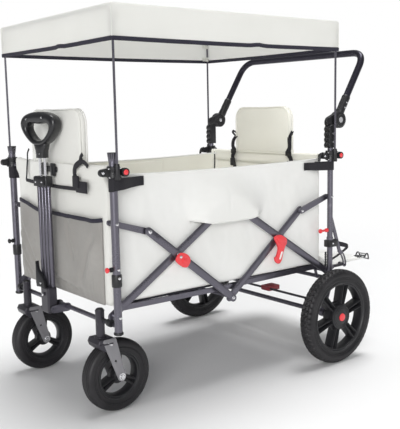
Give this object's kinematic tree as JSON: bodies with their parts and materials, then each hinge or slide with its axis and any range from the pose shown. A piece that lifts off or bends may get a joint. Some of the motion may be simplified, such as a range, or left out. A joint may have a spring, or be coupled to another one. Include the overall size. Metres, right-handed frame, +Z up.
{
  "type": "folding wagon",
  "caption": "Folding wagon with a scissor frame, fabric tub with seat backs, canopy on hoops, pull handle, push handle, casters and spoked rear wheels.",
  "frame": {"origin": "on the ground, under the middle of the wagon's box", "axes": "+X points to the push handle at the rear, +Y to the right-hand side in the picture's far side, +Z up"},
  "size_m": [1.1309, 0.7696, 1.071],
  "materials": {
    "gunmetal": "satin",
    "black_metal": "satin",
    "bright_steel": "satin",
    "black_plastic": "matte",
    "red_plastic": "gloss",
    "tyre": "matte",
    "cloth": "woven",
    "pocket_cloth": "woven"
  },
  "bodies": {
    "rear_frame": {"rear_frame": "gunmetal", "handle_hub_left": "black_plastic", "handle_hub_right": "black_plastic", "rear_clamp_left": "black_plastic", "rear_clamp_right": "black_plastic", "rear_panel": "cloth", "rear_seat_back": "cloth", "tub_liner": "cloth"},
    "rear_post_bars": {"rear_post_bars": "gunmetal"},
    "rear_centre_bars": {"rear_centre_bar_left": "gunmetal", "rear_centre_bar_right": "gunmetal"},
    "front_centre_bars": {"front_centre_bars": "gunmetal", "fold_catch": "red_plastic"},
    "front_post_bars": {"front_post_bar_left": "gunmetal", "front_post_bar_right": "gunmetal"},
    "front_frame": {"front_frame": "gunmetal", "front_clamp_left": "black_plastic", "front_clamp_right": "black_plastic", "front_panel": "cloth", "front_pocket": "pocket_cloth", "front_seat_back": "cloth"},
    "front_links": {"front_link_left": "gunmetal", "front_link_right": "gunmetal"},
    "rear_links": {"rear_link_left": "gunmetal", "rear_link_right": "gunmetal"},
    "floor_front": {"floor_front": "black_plastic"},
    "floor_rear": {"floor_rear": "black_plastic"},
    "front_poles": {"front_poles": "gunmetal"},
    "rear_poles": {"rear_poles": "gunmetal", "canopy_cover": "cloth"},
    "pull_yoke": {"pull_yoke": "black_plastic"},
    "pull_shaft": {"pull_shaft": "black_metal"},
    "pull_tubes": {"pull_tubes": "bright_steel", "pull_grip": "black_plastic"},
    "push_handle": {"push_handle": "gunmetal"},
    "brake": {"brake_bar": "black_metal", "brake_pedal": "red_plastic"},
    "fold_hook": {"fold_hook": "red_plastic"},
    "basket": {"basket_frame": "gunmetal", "basket_bag": "cloth"},
    "caster_fork_left": {"caster_fork_left": "gunmetal"},
    "caster_wheel_left": {"caster_hub_left": "black_plastic", "caster_tyre_left": "tyre"},
    "rear_wheel_left": {"rear_hub_left": "black_plastic", "rear_tyre_left": "tyre"},
    "hub_button_left": {"hub_button_left": "bright_steel"},
    "front_knob_left": {"front_knob_left": "red_plastic"},
    "front_pin_left": {"front_pin_left": "red_plastic"},
    "rear_knob_left": {"rear_knob_left": "red_plastic"},
    "rear_pin_left": {"rear_pin_left": "red_plastic"},
    "caster_fork_right": {"caster_fork_right": "gunmetal"},
    "caster_wheel_right": {"caster_hub_right": "black_plastic", "caster_tyre_right": "tyre"},
    "rear_wheel_right": {"rear_hub_right": "black_plastic", "rear_tyre_right": "tyre"},
    "hub_button_right": {"hub_button_right": "bright_steel"},
    "front_knob_right": {"front_knob_right": "red_plastic"},
    "front_pin_right": {"front_pin_right": "red_plastic"},
    "rear_knob_right": {"rear_knob_right": "red_plastic"},
    "rear_pin_right": {"rear_pin_right": "red_plastic"}
  },
  "joints": [
    {"name": "fold", "type": "hinge", "parent": "rear_frame", "child": "rear_post_bars", "pos_m": [0.3155, 0, 0.281], "axis": [0, 1, 0], "range_deg": [0, 44], "deforming": ["tub_liner", "canopy_cover"]},
    {"name": "rear_cross", "type": "hinge", "parent": "rear_post_bars", "child": "rear_centre_bars", "pos_m": [0.10751, 0, 0.41607], "axis": [0, 1, 0], "range_deg": [-84, 1]},
    {"name": "centre_low", "type": "hinge", "parent": "rear_centre_bars", "child": "front_centre_bars", "pos_m": [-0.08697, 0, 0.26138], "axis": [0, 1, 0], "range_deg": [-1, 79.5]},
    {"name": "front_cross", "type": "hinge", "parent": "front_centre_bars", "child": "front_post_bars", "pos_m": [-0.28145, 0, 0.41607], "axis": [0, 1, 0], "range_deg": [-84, 1]},
    {"name": "front_post", "type": "hinge", "parent": "front_post_bars", "child": "front_frame", "pos_m": [-0.48944, 0, 0.281], "axis": [0, 1, 0], "range_deg": [-1, 45]},
    {"name": "front_link", "type": "hinge", "parent": "front_frame", "child": "front_links", "pos_m": [-0.48944, 0, 0.525], "axis": [0, -1, 0], "range_deg": [-1, 93]},
    {"name": "front_floor", "type": "hinge", "parent": "front_frame", "child": "floor_front", "pos_m": [-0.46944, 0, 0.2935], "axis": [0, -1, 0], "range_deg": [-1, 88]},
    {"name": "front_pole_slide", "type": "slide", "parent": "front_frame", "child": "front_poles", "axis": [0, 0, 1], "range_m": [-0.09, 0]},
    {"name": "front_knob_turn_left", "type": "hinge", "parent": "front_frame", "child": "front_knob_left", "pos_m": [-0.46724, -0.312, 0.657], "axis": [0, -1, 0], "continuous": true},
    {"name": "front_pin_pull_left", "type": "slide", "parent": "front_frame", "child": "front_pin_left", "axis": [-1, 0, 0], "range_m": [0, 0.006], "stiffness_N_per_m": 400},
    {"name": "front_knob_turn_right", "type": "hinge", "parent": "front_frame", "child": "front_knob_right", "pos_m": [-0.46724, 0.312, 0.657], "axis": [0, 1, 0], "continuous": true},
    {"name": "front_pin_pull_right", "type": "slide", "parent": "front_frame", "child": "front_pin_right", "axis": [-1, 0, 0], "range_m": [0, 0.006], "stiffness_N_per_m": 400},
    {"name": "rear_link", "type": "hinge", "parent": "rear_frame", "child": "rear_links", "pos_m": [0.3155, 0, 0.525], "axis": [0, 1, 0], "range_deg": [-1, 93]},
    {"name": "rear_floor", "type": "hinge", "parent": "rear_frame", "child": "floor_rear", "pos_m": [0.2955, 0, 0.2935], "axis": [0, 1, 0], "range_deg": [-1, 88]},
    {"name": "rear_pole_slide", "type": "slide", "parent": "rear_frame", "child": "rear_poles", "axis": [0, 0, 1], "range_m": [-0.09, 0]},
    {"name": "rear_knob_turn_left", "type": "hinge", "parent": "rear_frame", "child": "rear_knob_left", "pos_m": [0.3377, -0.312, 0.657], "axis": [0, -1, 0], "continuous": true},
    {"name": "rear_pin_pull_left", "type": "slide", "parent": "rear_frame", "child": "rear_pin_left", "axis": [-1, 0, 0], "range_m": [0, 0.006], "stiffness_N_per_m": 400},
    {"name": "rear_knob_turn_right", "type": "hinge", "parent": "rear_frame", "child": "rear_knob_right", "pos_m": [0.3377, 0.312, 0.657], "axis": [0, 1, 0], "continuous": true},
    {"name": "rear_pin_pull_right", "type": "slide", "parent": "rear_frame", "child": "rear_pin_right", "axis": [-1, 0, 0], "range_m": [0, 0.006], "stiffness_N_per_m": 400},
    {"name": "caster_swivel_left", "type": "hinge", "parent": "front_frame", "child": "caster_fork_left", "pos_m": [-0.49844, -0.2215, 0.213], "axis": [0, 0, 1], "continuous": true},
    {"name": "caster_spin_left", "type": "hinge", "parent": "caster_fork_left", "child": "caster_wheel_left", "pos_m": [-0.45444, -0.2215, 0.1], "axis": [0, 1, 0], "continuous": true},
    {"name": "rear_spin_left", "type": "hinge", "parent": "rear_frame", "child": "rear_wheel_left", "pos_m": [0.2855, -0.3555, 0.15], "axis": [0, 1, 0], "continuous": true},
    {"name": "caster_swivel_right", "type": "hinge", "parent": "front_frame", "child": "caster_fork_right", "pos_m": [-0.49844, 0.2215, 0.213], "axis": [0, 0, 1], "continuous": true},
    {"name": "caster_spin_right", "type": "hinge", "parent": "caster_fork_right", "child": "caster_wheel_right", "pos_m": [-0.45444, 0.2215, 0.1], "axis": [0, 1, 0], "continuous": true},
    {"name": "rear_spin_right", "type": "hinge", "parent": "rear_frame", "child": "rear_wheel_right", "pos_m": [0.2855, 0.3555, 0.15], "axis": [0, 1, 0], "continuous": true},
    {"name": "pull_tilt", "type": "hinge", "parent": "front_frame", "child": "pull_yoke", "pos_m": [-0.53344, 0, 0.2545], "axis": [0, -1, 0], "range_deg": [0, 105]},
    {"name": "pull_swivel", "type": "hinge", "parent": "pull_yoke", "child": "pull_shaft", "pos_m": [-0.53344, 0, 0.318], "axis": [0, 0, 1], "range_deg": [-30, 0]},
    {"name": "pull_extend", "type": "slide", "parent": "pull_shaft", "child": "pull_tubes", "axis": [0, 0, 1], "range_m": [-0.05, 0.2]},
    {"name": "push_tilt", "type": "hinge", "parent": "rear_frame", "child": "push_handle", "pos_m": [0.3515, 0, 0.768], "axis": [0, 1, 0], "range_deg": [-13, 107]},
    {"name": "hub_press_left", "type": "slide", "parent": "push_handle", "child": "hub_button_left", "axis": [0, 1, 0], "range_m": [0, 0.0028], "stiffness_N_per_m": 400},
    {"name": "hub_press_right", "type": "slide", "parent": "push_handle", "child": "hub_button_right", "axis": [0, -1, 0], "range_m": [0, 0.0028], "stiffness_N_per_m": 400},
    {"name": "brake_turn", "type": "hinge", "parent": "rear_frame", "child": "brake", "pos_m": [0.3155, 0, 0.172], "axis": [0, 1, 0], "range_deg": [-20, 20]},
    {"name": "hook_swing", "type": "hinge", "parent": "rear_post_bars", "child": "fold_hook", "pos_m": [0.12596, -0.2935, 0.40409], "axis": [0, 1, 0], "range_deg": [0, 60]},
    {"name": "basket_lift", "type": "hinge", "parent": "rear_frame", "child": "basket", "pos_m": [0.337, 0, 0.29], "axis": [0, -1, 0], "range_deg": [0, 38]}
  ],
  "couplings": [
    {"joint": "rear_cross", "follows": "fold", "ratio": -1.895},
    {"joint": "centre_low", "follows": "fold", "ratio": 1.79},
    {"joint": "front_cross", "follows": "fold", "ratio": -1.895},
    {"joint": "front_post", "follows": "fold", "ratio": 1},
    {"joint": "front_link", "follows": "fold", "ratio": 2.084},
    {"joint": "front_floor", "follows": "fold", "ratio": 1.96},
    {"joint": "rear_link", "follows": "fold", "ratio": 2.084},
    {"joint": "rear_floor", "follows": "fold", "ratio": 1.96},
    {"joint": "rear_pole_slide", "follows": "front_pole_slide", "ratio": 1}
  ]
}
